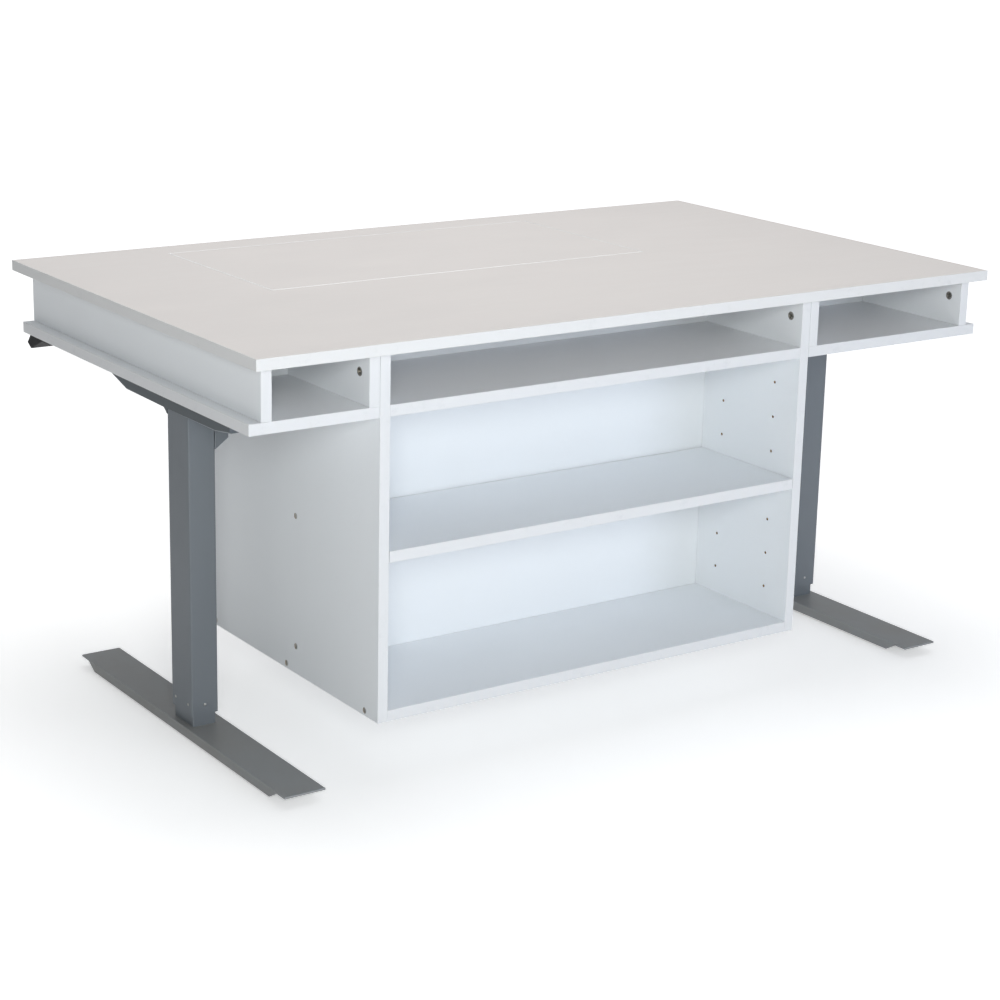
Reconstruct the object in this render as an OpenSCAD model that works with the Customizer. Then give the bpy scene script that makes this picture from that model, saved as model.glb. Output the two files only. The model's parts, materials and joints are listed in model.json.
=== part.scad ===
// Height-adjustable sewing table: a box top with a lift-out insert over a machine
// well, a storage cabinet hung under it, and two telescoping steel legs on flat feet.
// Origin: on the floor, midway along the table and midway from front to back.
// +X runs along the table, +Y from the shelf side (front) to the sitter (rear), +Z up.

/* [Work surface] */
// Length of the top
top_w = 1524; // [1350:1:1900]
// Depth of the top, front to back
top_d = 914; // [760:1:1150]
// Height of the work surface with the legs fully down
top_h = 740; // [640:1:900]
// Thickness of every board
board_t = 19; // [15:0.5:24]

/* [Box top] */
// Clear height between the top and the deck below it
box_h = 86; // [70:1:140]
// How far the side boards stand in from the ends of the top
side_inset = 21; // [5:1:60]
// How far the front edges stand in from the front of the top
front_inset = 25; // [0:1:60]
// How far the rear edges stand in from the rear of the top
rear_inset = 42; // [20:1:90]
// Depth of the front compartments
comp_depth = 258; // [200:1:320]

/* [Cabinet] */
// From the left end of the top to the cabinet
left_wing = 231; // [210:1:300]
// From the right end of the top to the cabinet
right_wing = 408; // [300:1:480]
// Depth of the cabinet
cab_d = 600; // [400:1:730]
// Height of the cabinet's underside above the floor
cab_floor_z = 106; // [80:1:160]
// Pin row that carries the adjustable shelf, counted from 0 at the bottom
shelf_row = 3; // [1:1:4]
// Side clearance of the adjustable shelf
shelf_gap = 1; // [0.5:0.1:3]

/* [Insert] */
// From each cabinet side to the insert
insert_side = 27.5; // [20:0.5:80]
// From the back of the front compartment to the insert
insert_front = 151; // [60:1:200]
// Gap all round the insert
insert_gap = 1.5; // [0.8:0.1:3]
// Width of the support strips under the opening
cleat_w = 22; // [18:1:40]
// How far each support strip reaches into the opening
cleat_lip = 12; // [8:1:16]

/* [Feet and legs] */
// Width of a foot
foot_w = 75; // [65:1:110]
// From the front of the top to the tip of a foot
foot_front = 14; // [0:1:60]
// From the rear of the top to the heel of a foot
foot_rear = 138; // [40:1:200]
// From the ends of the top to the outside of the feet
foot_inset = 53; // [40:1:80]
// Steel thickness of the feet
foot_t = 4; // [3:0.5:6]
// Outer width of the upper leg tube, along the table
column_w = 50; // [45:1:60]
// Outer depth of the upper leg tube
column_d = 75; // [60:1:90]
// Wall of both leg tubes
column_wall = 2; // [1.5:0.1:3]
// Gap between the two leg tubes, taken up by the glide pads
column_gap = 1.3; // [1:0.1:2.5]
// From the front of the top to the middle of the legs
column_front = 387; // [340:1:430]
// Length of a support arm
arm_l = 447; // [400:1:500]
// From the front of the top to the tip of a support arm
arm_front = 203; // [150:1:230]
// Diameter of the lead screw
screw_d = 16; // [12:1:18]
// Shortest length of leg tube left overlapping at full height
min_overlap = 130; // [100:1:200]

/* [Handset] */
// Length of the handset along the table
handset_l = 105; // [80:1:140]
// How far the handset's nose stands out behind the deck
handset_nose = 25; // [15:1:30]

/* [Hidden] */

$fn = 32;

white = [0.90, 0.91, 0.93];
top_white = [0.86, 0.86, 0.84];
grey_steel = [0.45, 0.47, 0.49];
dark_grey = [0.36, 0.38, 0.39];
zinc = [0.75, 0.76, 0.78];
black = [0.05, 0.05, 0.06];
nylon = [0.88, 0.87, 0.82];

hole_gap = 0.05;      // radial clearance of a screw or pin in its hole
joint_gap = 0.5;      // gap between the cabinet and the boards beside it
run_gap = 0.05;       // radial clearance of a shaft in its bearing or nut
slide_gap = 0.3;      // clearance of a glide pad on the tube it slides on

// Levels, from the floor up
z_under = top_h - board_t;
z_box = z_under - box_h;
z_wing = z_box - board_t;
z_cab_top = cab_floor_z + board_t;

// Front to back
y_top_front = -top_d / 2;
y_top_rear = top_d / 2;
y_front = y_top_front + front_inset;
y_rear = y_top_rear - rear_inset;
y_rail = y_rear - board_t;
y_comp_back = y_front + comp_depth;
y_cab_rear = y_front + cab_d;

// Left to right
x_end = top_w / 2;
x_side_out = x_end - side_inset;
x_side_in = x_side_out - board_t;
x_cab_left = -x_end + left_wing;
x_cab_right = x_end - right_wing;
x_in_left = x_cab_left + board_t;
x_in_right = x_cab_right - board_t;
x_div_left = x_cab_left - joint_gap - board_t;
x_div_right = x_cab_right + joint_gap;
x_mid_side = x_side_in + board_t / 2;
x_mid_div_left = x_div_left + board_t / 2;
x_mid_div_right = x_div_right + board_t / 2;

// Insert and its opening
y_insert_rear = y_rail - joint_gap - (cleat_w - cleat_lip) - insert_gap;
y_insert_front = y_comp_back + board_t + insert_front;
x_insert_left = x_in_left + insert_side;
x_insert_right = x_in_right - insert_side;
insert_w = x_insert_right - x_insert_left;
insert_d = y_insert_rear - y_insert_front;
open_x = x_insert_left - insert_gap;
open_y = y_insert_front - insert_gap;
open_w = insert_w + 2 * insert_gap;
open_d = insert_d + 2 * insert_gap;
cleat_t = 18;

// Flush screws that join the boards
head_r = 5;
head_h = 2;
shank_r = 3.5;
core_r = 2.5;
core_l = 30;
screw_edge = 41;      // from a board's end to its first screw
cab_screw_ys = [y_front + screw_edge, y_front + cab_d / 2, y_cab_rear - screw_edge];
y_back_mid = y_comp_back + board_t / 2;
back_screw_zs = [z_cab_top + 31, (z_cab_top + z_wing) / 2 + 17, z_wing - 26];
// Each pair is a place, y and z, on the outside of a cabinet side
cab_screws = concat(
    [for (y = cab_screw_ys) [y, cab_floor_z + board_t / 2]],
    [for (y = cab_screw_ys) [y, z_box - board_t / 2]],
    [for (z = back_screw_zs) [y_back_mid, z]],
    [[y_back_mid, z_box + box_h / 2]]
);
deck_edge = 60;
deck_screw_ys = [y_front + deck_edge, (y_front + y_rear) / 2, y_rear - deck_edge];
rail_screw_xs = [
    -x_side_in + deck_edge, x_cab_left + deck_edge, x_cab_right - deck_edge, x_side_in - deck_edge
];
deck_screw_xs = [-x_mid_side, x_mid_div_left, x_mid_div_right, x_mid_side];

// Cam locks that hold the boards to the top
cam_r = 7.5;
cam_depth = 12.5;
cam_drop = 34;
cam_front = 30;
cam_rear = 90;
z_cam = z_under - cam_drop;
cam_bolt_r = 3.5;
cam_thread_r = 2.5;
cam_thread_l = 11;
cam_ys = [y_front + cam_front, y_rear - cam_rear];
cab_cam_ys = [y_front + cam_front, y_cab_rear - cam_front];
// Each entry: x of the face, direction into the board, x of the board's middle, the places in y
cams = [
    [-x_side_in, -1, -x_mid_side, cam_ys],
    [x_div_left, 1, x_mid_div_left, cam_ys],
    [x_in_left, -1, x_cab_left + board_t / 2, cab_cam_ys],
    [x_in_right, 1, x_cab_right - board_t / 2, cab_cam_ys],
    [x_div_right + board_t, -1, x_mid_div_right, cam_ys],
    [x_side_in, 1, x_mid_side, cam_ys]
];

// Shelf pins
pin_r = 2.5;
pin_hole_depth = 10;
pin_pitch = 64;
pin_first = 51;       // above the cabinet bottom
pin_front = 63;       // from the front edges to the front column of holes
pin_columns = 139;    // between the two columns of holes
pin_ledge = 12;
pin_plate_t = 2;
pin_rise = 8;         // from the pin's middle up to the ledge's upper face
pin_ys = [y_front + pin_front, y_front + pin_front + pin_columns];
pin_rows = floor((z_wing - z_cab_top - pin_first - 20) / pin_pitch);
pin_zs = [for (i = [0 : pin_rows]) z_cab_top + pin_first + i * pin_pitch];
z_shelf = pin_zs[shelf_row] + pin_rise;
shelf_back_gap = 3;

// Dowels between the shelf, the deck boards and the well floor
dowel_r = 4;
dowel_l = 30;
floor_dowel_in = 80;
floor_dowel_xs = [x_in_left + floor_dowel_in, (x_in_left + x_in_right) / 2, x_in_right - floor_dowel_in];
// Two between the cabinet and the rear deck screw
floor_dowel_ys = [for (k = [0.3, 0.7]) y_cab_rear + k * (y_rear - deck_edge - y_cab_rear)];

// Feet
foot_h = 22;          // floor to the top of the foot
glide_h = 4;          // how far the glides hold the skirts off the floor
foot_over = 28;       // plate beyond the skirts
foot_slope = 24;      // run of the sloped skirt ends
y_foot_front = y_top_front + foot_front;
y_foot_rear = y_top_rear - foot_rear;
x_foot_out = x_end - foot_inset;
x_foot = x_foot_out - foot_w / 2;
glide_in = 80;
glide_ys = [y_foot_front + glide_in, y_foot_rear - glide_in];
glide_r = 15;
glide_rim = 2;        // height of the glide's bevelled rim
glide_plate = 5;      // floor to the top of the glide's disc
collar_rise = 2.5;    // the moulded collar round the glide's stud
stud_r = 4;
nut_r = 7.5;
z_nut = 9;

// Legs
column_step = 8.5;    // from the outside of a foot to the outside of its leg
x_column = x_foot_out - column_step - column_w / 2;
y_column = y_top_front + column_front;
inner_w = column_w - 2 * column_wall - 2 * column_gap;
inner_d = column_d - 2 * column_wall - 2 * column_gap;
column_round = 3;
arm_h = 51;
z_arm = z_wing - arm_h;
z_outer = foot_h + 21;
z_inner_top = z_arm - 25;
stroke = z_inner_top - foot_h - (z_outer - foot_h) - min_overlap;
pad_t = column_gap - slide_gap;
pad_l = 50;
pad_end = 6;
rivet_r = 2.5;
rivet_up = 17;
rivet_side = 23;
bolt_r = 4;
bolt_dx = 24;
bolt_dy = 44;
block_h = 12;
bolt_head_r = 6.5;
bolt_head_h = 6;
plug_gap = 0.4;       // what a plug is smaller than the tube it closes
pad_edge = 12;        // from a tube's corner to the edge of a pad
rivet_sunk = 0.4;     // how far a rivet sits below the tube's face

// Drive
journal_r = 6;
collar_r = 10.5;
collar_h = 5;
bearing_r = 13;
bearing_h = 8;
head_plate_h = 10;
nut_h = 20;
nut_flange = 4;
z_collar = z_arm - head_plate_h - joint_gap - collar_h;
screw_spare = 18;     // screw left below the nut at full height
z_screw_low = z_inner_top - nut_h - stroke - screw_spare;
stop_h = 6;
spindle_up = 30;      // how far the spindle reaches into the gearbox
spindle_end = 2;      // room above the spindle in its bore
gearbox_w = 60;
gearbox_d = 60;
gearbox_out = 20;     // from the spindle to the outer end of the gearbox
gearbox_h = 42;
motor_r = 19;
motor_l = 100;

// Support arms
arm_w = column_w + 25;
arm_t = 2.5;
arm_lip = 14;
arm_tip_run = 50;
arm_tip_rise = 7;
arm_tail_run = 70;
arm_tail_rise = 19;
x_arm_out = x_column + column_w / 2;
x_arm_in = x_arm_out - arm_w;
y_arm = y_top_front + arm_front;
wood_screw_r = 2.5;
wood_screw_l = 13;
wood_head_r = 4.5;
wood_head_h = 2.5;
access_r = 7;
access_h = 30;
gusset_run = 12;
gusset_drop = 9;
arm_screw_in = 9.5;   // from a side of the arm to its screws
arm_screw_end = 25;   // from an end of the arm to its last screws
arm_screw_xs = [x_arm_out - arm_screw_in, x_arm_in + arm_screw_in];
arm_screw_ys = [y_arm + arm_screw_end, y_arm + 90, y_arm + arm_l - 110, y_arm + arm_l - arm_screw_end];

// Head cover on the table side of each leg
cover_t = 2.5;
cover_drop = 42;
cover_chamfer = 18;
cover_w = x_column - column_w / 2 - x_arm_in;

// Control box under the right wing
box_w = 100;
box_l = 240;
box_d = 38;
box_wall = 2.5;
x_box = x_cab_right + 90;
y_box = y_column + 90;
inlet_w = 28;
inlet_h = 22;
inlet_d = 16;
inlet_wall = 2;
inlet_deep = 12;      // depth of the recess round the pins
inlet_pins = [[-7, -2], [0, 3], [7, -2]];
pin_size = [2, 10, 4];
pcb_in = 8;           // from the box to the circuit board, all round
pcb_t = 1.6;
post_in = 6;          // from the board's edge to its posts
post_r = 3;

// Handset under the left wing, facing the sitter
x_handset = -x_end + 17;
handset_run = 22;     // run of the button face
handset_drop = 25;    // drop of the button face
handset_h = 34;
handset_depth = 70;
button_w = 16;
button_d = 12;
button_proud = 1.5;
button_deep = 4;
button_travel = 1.2;
button_spare = 0.5;   // room left behind a button when it is pressed
button_round = 3;
button_gap = 0.3;
button_angle = atan2(handset_drop, handset_run);
y_nose = y_rear + handset_nose;
button_xs = [x_handset + handset_l * 0.36, x_handset + handset_l * 0.64];
handset_screw_in = 30;
handset_screw_xs = [x_handset + handset_screw_in, x_handset + handset_l - handset_screw_in];
y_handset_screw = y_nose - handset_depth - 5;
y_handset_back = y_nose - handset_depth - 25;
flange_t = 12;        // flange that the case is screwed up by
flange_l = 30;
handset_chin = 16;    // run of the slope under the nose
case_head_r = 4;
case_head_h = 3;
case_screw_r = 2;
case_screw_bite = 12; // how far a case screw goes into the deck

// ---------------------------------------------------------------- shared shapes

module side_of(right) {
    mirror([right ? 0 : 1, 0, 0]) children();
}

module panel(from, to) {
    translate(from) cube(to - from);
}

module rounded_rect(w, d, r) {
    square([w - 2 * r, d], center = true);
    square([w, d - 2 * r], center = true);
    for (x = [-1, 1])
        for (y = [-1, 1])
            translate([x * (w / 2 - r), y * (d / 2 - r)]) circle(r);
}

module tube(w, d, wall, r, h) {
    linear_extrude(h) difference() {
        rounded_rect(w, d, r);
        rounded_rect(w - 2 * wall, d - 2 * wall, r - wall / 2);
    }
}

// A plug that closes the end of a tube of that outer size
module tube_plug(w, d, h) {
    linear_extrude(h)
        rounded_rect(w - 2 * column_wall - plug_gap, d - 2 * column_wall - plug_gap, column_round / 2);
}

// A flush screw that enters at z = 0 and runs up
module flush_screw(gap = 0) {
    cylinder(r = head_r + gap, h = head_h + gap);
    cylinder(r = shank_r + gap, h = board_t);
    cylinder(r = core_r + gap, h = board_t + core_l + gap);
}

module cabinet_screws(gap = 0) {
    for (p = cab_screws) {
        translate([x_cab_left, p[0], p[1]]) rotate([0, 90, 0]) flush_screw(gap);
        translate([x_cab_right, p[0], p[1]]) rotate([0, -90, 0]) flush_screw(gap);
    }
}

module deck_screws(gap = 0, xs = deck_screw_xs) {
    for (x = xs)
        for (y = deck_screw_ys)
            translate([x, y, z_wing]) flush_screw(gap);
}

module rail_screws(gap = 0) {
    for (x = rail_screw_xs) translate([x, y_rail + board_t / 2, z_wing]) flush_screw(gap);
}

module cam_lock_row(c, gap = 0) {
    for (y = c[3])
        translate([c[0], y, z_cam]) rotate([0, c[1] * 90, 0])
            cylinder(r = cam_r + gap, h = cam_depth + gap);
}

module cam_bolt_row(c, gap = 0) {
    for (y = c[3]) {
        z0 = gap > 0 ? z_cam : z_cam + cam_r + hole_gap;
        translate([c[2], y, z0]) cylinder(r = cam_bolt_r + gap, h = z_under - z0);
        translate([c[2], y, z_under]) cylinder(r = cam_thread_r + gap, h = cam_thread_l + gap);
    }
}

module cam_cut(i) {
    cam_lock_row(cams[i], hole_gap);
    cam_bolt_row(cams[i], hole_gap);
}

module wood_screw(gap = 0) {
    translate([0, 0, -arm_t - wood_head_h]) cylinder(r = wood_head_r, h = wood_head_h);
    translate([0, 0, -arm_t]) cylinder(r = wood_screw_r + gap, h = arm_t + wood_screw_l + gap);
}

module arm_screw_places() {
    for (x = arm_screw_xs)
        for (y = arm_screw_ys)
            translate([x, y, z_wing]) children();
}

module shelf_dowels(gap = 0) {
    for (x = floor_dowel_xs)
        translate([x, y_cab_rear, z_box - board_t / 2])
            rotate([90, 0, 0]) cylinder(r = dowel_r + gap, h = dowel_l + 2 * gap, center = true);
}

module deck_dowels(x, gap = 0) {
    for (y = floor_dowel_ys)
        translate([x, y, z_box - board_t / 2])
            rotate([0, 90, 0]) cylinder(r = dowel_r + gap, h = dowel_l + 2 * gap, center = true);
}

module pin_holes() {
    for (y = pin_ys)
        for (z = pin_zs)
            translate([0, y, z]) rotate([0, -90, 0]) cylinder(r = pin_r + hole_gap, h = pin_hole_depth);
}

// ---------------------------------------------------------------- feet and lower legs

module skirt_side() {
    y0 = y_foot_front + foot_over;
    y1 = y_foot_rear - foot_over;
    rotate([90, 0, 90]) linear_extrude(foot_t) polygon([
        [y0, foot_h - foot_t], [y1, foot_h - foot_t],
        [y1 - foot_slope, glide_h], [y0 + foot_slope, glide_h]
    ]);
}

module foot(right) {
    color(grey_steel) side_of(right) difference() {
        union() {
            panel([x_foot_out - foot_w, y_foot_front, foot_h - foot_t], [x_foot_out, y_foot_rear, foot_h]);
            for (x = [x_foot_out - foot_w, x_foot_out - foot_t]) translate([x, 0, 0]) skirt_side();
        }
        bolt_places() translate([0, 0, -1]) cylinder(r = bolt_r + 0.5, h = foot_h + 2);
    }
}

module bolt_places() {
    for (x = [-1, 1])
        for (y = [-1, 1])
            translate([x_column + x * bolt_dx / 2, y_column + y * bolt_dy / 2, 0]) children();
}

module glide_places() {
    for (right = [false, true])
        for (y = glide_ys)
            side_of(right) translate([x_foot, y, 0]) children();
}

module levelling_glides() {
    color(black) glide_places() {
        cylinder(r1 = glide_r - glide_rim, r2 = glide_r, h = glide_rim);
        translate([0, 0, glide_rim]) cylinder(r = glide_r, h = glide_plate - glide_rim);
        translate([0, 0, glide_plate]) cylinder(r = stud_r + 3, h = collar_rise);
        cylinder(r = stud_r, h = foot_h - foot_t - 1);
    }
}

module glide_nuts() {
    color(zinc) glide_places() translate([0, 0, z_nut]) difference() {
        cylinder(r = nut_r, h = foot_h - foot_t - z_nut, $fn = 6);
        translate([0, 0, -1]) cylinder(r = stud_r + hole_gap, h = foot_h);
    }
}

module column_bolts() {
    color(zinc) for (right = [false, true]) side_of(right) bolt_places() {
        translate([0, 0, foot_h - foot_t - bolt_head_h]) {
            cylinder(r = bolt_head_r, h = bolt_head_h);
            cylinder(r = bolt_r, h = bolt_head_h + foot_t + block_h - 1);
        }
    }
}

module inner_column(right) {
    color(dark_grey) side_of(right) {
        translate([x_column, y_column, foot_h])
            tube(inner_w, inner_d, column_wall, column_round, z_inner_top - foot_h);
        difference() {
            translate([x_column, y_column, foot_h]) linear_extrude(block_h)
                rounded_rect(inner_w - column_wall, inner_d - column_wall, column_round - column_wall / 2);
            bolt_places() translate([0, 0, foot_h - 1]) cylinder(r = bolt_r + hole_gap, h = block_h + 2);
        }
    }
}

module drive_nut(right) {
    color(nylon) side_of(right) translate([x_column, y_column, z_inner_top]) difference() {
        union() {
            linear_extrude(nut_flange) rounded_rect(inner_w, inner_d, column_round);
            translate([0, 0, -nut_h]) tube_plug(inner_w, inner_d, nut_h);
        }
        translate([0, 0, -nut_h - 1]) cylinder(r = screw_d / 2 + run_gap, h = nut_h + nut_flange + 2);
    }
}

// One pad on each face of a tube; out is +1 outside the inner tube, -1 inside the outer tube
module pad_ring(w, d, z, out) {
    for (s = [-1, 1]) {
        translate([s * (w / 2 + out * pad_t / 2), 0, z + pad_l / 2])
            cube([pad_t, d - 2 * pad_edge, pad_l], center = true);
        translate([0, s * (d / 2 + out * pad_t / 2), z + pad_l / 2])
            cube([w - 2 * pad_edge, pad_t, pad_l], center = true);
    }
}

module inner_glide_pads() {
    color(nylon) for (right = [false, true]) side_of(right) translate([x_column, y_column, 0])
        pad_ring(inner_w, inner_d, z_inner_top - pad_l - pad_end, 1);
}

// ---------------------------------------------------------------- box top

module top_panel() {
    color(top_white) difference() {
        panel([-x_end, y_top_front, z_under], [x_end, y_top_rear, top_h]);
        panel([open_x, open_y, z_under - 1], [open_x + open_w, open_y + open_d, top_h + 1]);
        for (c = cams) cam_bolt_row(c, hole_gap);
    }
}

module insert_panel() {
    color(top_white)
        panel([x_insert_left, y_insert_front, z_under], [x_insert_right, y_insert_rear, top_h]);
}

module insert_cleats() {
    x0 = open_x + cleat_lip;
    x1 = open_x + open_w - cleat_lip;
    y0 = open_y + cleat_lip;
    y1 = open_y + open_d - cleat_lip;
    color(white) {
        panel([x0 - cleat_w, y0 - cleat_w, z_under - cleat_t], [x1 + cleat_w, y0, z_under]);
        panel([x0 - cleat_w, y1, z_under - cleat_t], [x1 + cleat_w, y1 + cleat_w, z_under]);
        for (x = [x0 - cleat_w, x1])
            panel([x, y0 + joint_gap, z_under - cleat_t], [x + cleat_w, y1 - joint_gap, z_under]);
    }
}

module wing_bottom(from_x, to_x, inner_x) {
    color(white) difference() {
        panel([from_x, y_front, z_wing], [to_x, y_rear, z_box]);
        deck_screws(hole_gap);
        rail_screws(hole_gap);
        deck_dowels(inner_x, hole_gap);
        for (right = [false, true]) side_of(right) arm_screw_places() wood_screw(hole_gap);
        children();
    }
}

module left_wing_bottom() {
    wing_bottom(-x_end, x_cab_left - joint_gap, x_cab_left - joint_gap)
        handset_fixings(hole_gap);
}

module right_wing_bottom() {
    wing_bottom(x_cab_right + joint_gap, x_end, x_cab_right + joint_gap) children();
}

module well_floor() {
    color(white) difference() {
        panel([x_cab_left - joint_gap, y_cab_rear, z_wing], [x_cab_right + joint_gap, y_rear, z_box]);
        rail_screws(hole_gap);
        shelf_dowels(hole_gap);
        deck_dowels(x_cab_left - joint_gap, hole_gap);
        deck_dowels(x_cab_right + joint_gap, hole_gap);
    }
}

module upright(x, i, y_to, screw_x) {
    color(white) difference() {
        panel([x, y_front, z_box], [x + board_t, y_to, z_under]);
        deck_screws(hole_gap, [screw_x]);
        cam_cut(i);
    }
}

module left_outer_side() {
    upright(-x_side_out, 0, y_rear, -x_mid_side);
}

module right_outer_side() {
    upright(x_side_in, 5, y_rear, x_mid_side);
}

module left_divider() {
    upright(x_div_left, 1, y_rail, x_mid_div_left);
}

module right_divider() {
    upright(x_div_right, 4, y_rail, x_mid_div_right);
}

module left_cubby_back() {
    color(white) panel([-x_side_in, y_comp_back, z_box], [x_div_left, y_comp_back + board_t, z_under]);
}

module right_cubby_back() {
    color(white)
        panel([x_div_right + board_t, y_comp_back, z_box], [x_side_in, y_comp_back + board_t, z_under]);
}

module rear_rail() {
    color(white) difference() {
        panel([-x_side_in, y_rail, z_box], [x_side_in, y_rear, z_under]);
        rail_screws(hole_gap);
    }
}

// ---------------------------------------------------------------- cabinet

module cabinet_left_side() {
    color(white) difference() {
        panel([x_cab_left, y_front, cab_floor_z], [x_in_left, y_cab_rear, z_under]);
        cabinet_screws(hole_gap);
        cam_cut(2);
        translate([x_in_left, 0, 0]) pin_holes();
    }
}

module cabinet_right_side() {
    color(white) difference() {
        panel([x_in_right, y_front, cab_floor_z], [x_cab_right, y_cab_rear, z_under]);
        cabinet_screws(hole_gap);
        cam_cut(3);
        translate([x_in_right, 0, 0]) mirror([1, 0, 0]) pin_holes();
    }
}

module between_sides(y0, y1, z0, z1) {
    color(white) difference() {
        panel([x_in_left, y0, z0], [x_in_right, y1, z1]);
        cabinet_screws(hole_gap);
        children();
    }
}

module cabinet_bottom() {
    between_sides(y_front, y_cab_rear, cab_floor_z, z_cab_top);
}

module upper_shelf() {
    between_sides(y_front, y_cab_rear, z_wing, z_box) shelf_dowels(hole_gap);
}

module cabinet_back() {
    between_sides(y_comp_back, y_comp_back + board_t, z_cab_top, z_wing);
}

module upper_compartment_back() {
    between_sides(y_comp_back, y_comp_back + board_t, z_box, z_under);
}

module adjustable_shelf() {
    color(white) panel(
        [x_in_left + shelf_gap, y_front, z_shelf],
        [x_in_right - shelf_gap, y_comp_back - shelf_back_gap, z_shelf + board_t]
    );
}

// A steel pin with an angled ledge, its pin running into the board on the left
module shelf_pin() {
    rotate([0, -90, 0]) cylinder(r = pin_r, h = pin_hole_depth - 1);
    panel([0, -pin_ledge / 2, -pin_rise], [pin_plate_t, pin_ledge / 2, pin_rise]);
    panel([0, -pin_ledge / 2, pin_rise - pin_plate_t], [pin_ledge, pin_ledge / 2, pin_rise]);
}

module shelf_pins() {
    color(zinc) for (y = pin_ys) {
        translate([x_in_left, y, pin_zs[shelf_row]]) shelf_pin();
        translate([x_in_right, y, pin_zs[shelf_row]]) mirror([1, 0, 0]) shelf_pin();
    }
}

module cam_locks() {
    color(zinc) for (c = cams) cam_lock_row(c);
}

module cam_bolts() {
    color(zinc) for (c = cams) cam_bolt_row(c);
}

module connecting_screws() {
    color(zinc) {
        cabinet_screws();
        deck_screws();
        rail_screws();
    }
}

module floor_dowels() {
    color("burlywood") {
        shelf_dowels();
        deck_dowels(x_cab_left - joint_gap);
        deck_dowels(x_cab_right + joint_gap);
    }
}

// ---------------------------------------------------------------- upper legs and drive

module rivet_places() {
    for (s = [-1, 1]) {
        for (y = [-rivet_side, rivet_side])
            translate([s * column_w / 2, y, z_outer + rivet_up]) rotate([0, -s * 90, 0]) children();
        translate([0, s * column_d / 2, z_outer + rivet_up]) rotate([s * 90, 0, 0]) children();
    }
}

module outer_column(right) {
    color(dark_grey) side_of(right) translate([x_column, y_column, 0]) difference() {
        translate([0, 0, z_outer]) tube(column_w, column_d, column_wall, column_round, z_arm - z_outer);
        rivet_places() translate([0, 0, -1]) cylinder(r = rivet_r + hole_gap, h = column_wall + 2);
    }
}

module outer_glide_pads() {
    color(nylon) for (right = [false, true]) side_of(right) translate([x_column, y_column, 0])
        pad_ring(column_w - 2 * column_wall, column_d - 2 * column_wall, z_outer + pad_end, -1);
}

module pad_rivets() {
    color(dark_grey) for (right = [false, true]) side_of(right) translate([x_column, y_column, 0])
        rivet_places() translate([0, 0, rivet_sunk]) cylinder(r = rivet_r, h = column_wall - rivet_sunk);
}

// A hollow's outline runs 1 past the open side of the shell it is cut from
function past(t) = t > 0 ? 1 : 0;

// Side outline of an arm, in y and z, drawn inwards by t
module arm_outline(t) {
    polygon([
        [y_arm + t, z_wing + past(t)], [y_arm + t, z_arm + arm_tip_rise + t],
        [y_arm + arm_tip_run, z_arm + t], [y_arm + arm_l - arm_tail_run, z_arm + t],
        [y_arm + arm_l - t, z_arm + arm_tail_rise + t], [y_arm + arm_l - t, z_wing + past(t)]
    ]);
}

module arm(right) {
    color(dark_grey) side_of(right) difference() {
        union() {
            difference() {
                translate([x_arm_in, 0, 0]) rotate([90, 0, 90]) linear_extrude(arm_w) arm_outline(0);
                translate([x_arm_in + arm_t, 0, 0]) rotate([90, 0, 90])
                    linear_extrude(arm_w - 2 * arm_t) arm_outline(arm_t);
            }
            for (x = [x_arm_in, x_arm_out - arm_lip])
                panel([x, y_arm, z_wing - arm_t], [x + arm_lip, y_arm + arm_l, z_wing]);
            translate([x_column - column_w / 2, y_column + column_d / 2, z_arm])
                rotate([90, 0, 90]) linear_extrude(column_w)
                    polygon([[0, 0], [gusset_run, 0], [0, -gusset_drop]]);
        }
        translate([x_column, y_column, z_arm - 1]) cylinder(r = journal_r + 2, h = arm_t + 2);
        arm_screw_places() {
            translate([0, 0, -arm_t - 1]) cylinder(r = wood_screw_r + hole_gap, h = arm_t + 2);
            translate([0, 0, -arm_h - 1]) cylinder(r = access_r, h = access_h);
        }
    }
}

module arm_screws() {
    color(zinc) for (right = [false, true]) side_of(right) arm_screw_places() wood_screw();
}

module head_plate(right) {
    color(zinc) side_of(right) translate([x_column, y_column, z_arm - head_plate_h]) difference() {
        tube_plug(column_w, column_d, head_plate_h);
        translate([0, 0, -1]) cylinder(r = bearing_r + hole_gap, h = bearing_h + 1);
        translate([0, 0, -1]) cylinder(r = journal_r + 1, h = head_plate_h + 2);
    }
}

module bearing(right) {
    color(zinc) side_of(right) translate([x_column, y_column, z_arm - head_plate_h]) difference() {
        cylinder(r = bearing_r, h = bearing_h - hole_gap);
        translate([0, 0, -1]) cylinder(r = journal_r + run_gap, h = bearing_h + 2);
    }
}

// Outline of a head cover, out from the leg and up, drawn inwards by t
module cover_outline(t) {
    slope = atan2(cover_chamfer, cover_w);
    z_edge = z_arm - cover_drop - cover_chamfer + t / cos(slope);
    polygon([
        [-past(t), z_arm + past(t)], [-past(t), z_edge],
        [cover_w - t, z_edge + (cover_w - t) * tan(slope)], [cover_w - t, z_arm + past(t)]
    ]);
}

// Folded cover beside the head of each leg, open to the leg and to the arm above
module head_cover(right) {
    color(dark_grey) side_of(right) translate([x_column - column_w / 2, y_column, 0])
        mirror([1, 0, 0]) rotate([90, 0, 0]) difference() {
            linear_extrude(column_d, center = true) cover_outline(0);
            linear_extrude(column_d - 2 * cover_t, center = true) cover_outline(cover_t);
        }
}

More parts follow.
